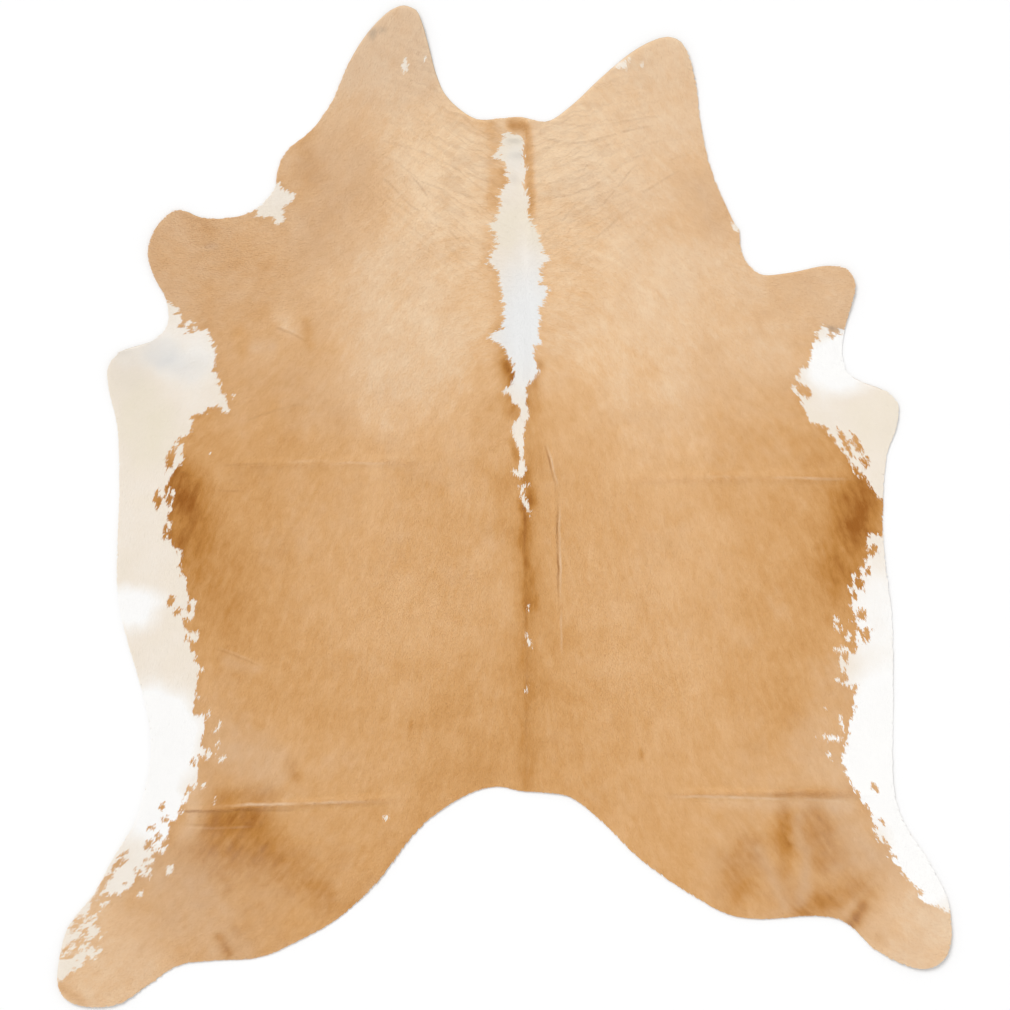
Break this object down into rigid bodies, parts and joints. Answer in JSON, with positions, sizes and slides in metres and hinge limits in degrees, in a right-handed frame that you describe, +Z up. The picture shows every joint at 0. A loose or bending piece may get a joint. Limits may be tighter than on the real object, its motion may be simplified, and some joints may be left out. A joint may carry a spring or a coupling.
{
  "type": "cowhide rug",
  "caption": "Whole tanned cowhide rug with short hair, tan with a white spine blaze and white belly, lying flat in its natural outline with neck lobes and legs.",
  "frame": {"origin": "middle of the outline's box, on the floor under the hide", "axes": "+Z up out of the hair side, +Y along the spine towards the neck, +X towards the right side seen from above"},
  "size_m": [1.9616, 2.2, 0.0117],
  "materials": {
    "leather": "tanned skin: hair side up, pale suede flesh side below, cut edge showing",
    "coat": "short flat hair with a soft sheen, tan with cream-white markings and dark flank spots"
  },
  "bodies": {
    "root": {"hide": "leather"}
  },
  "joints": []
}
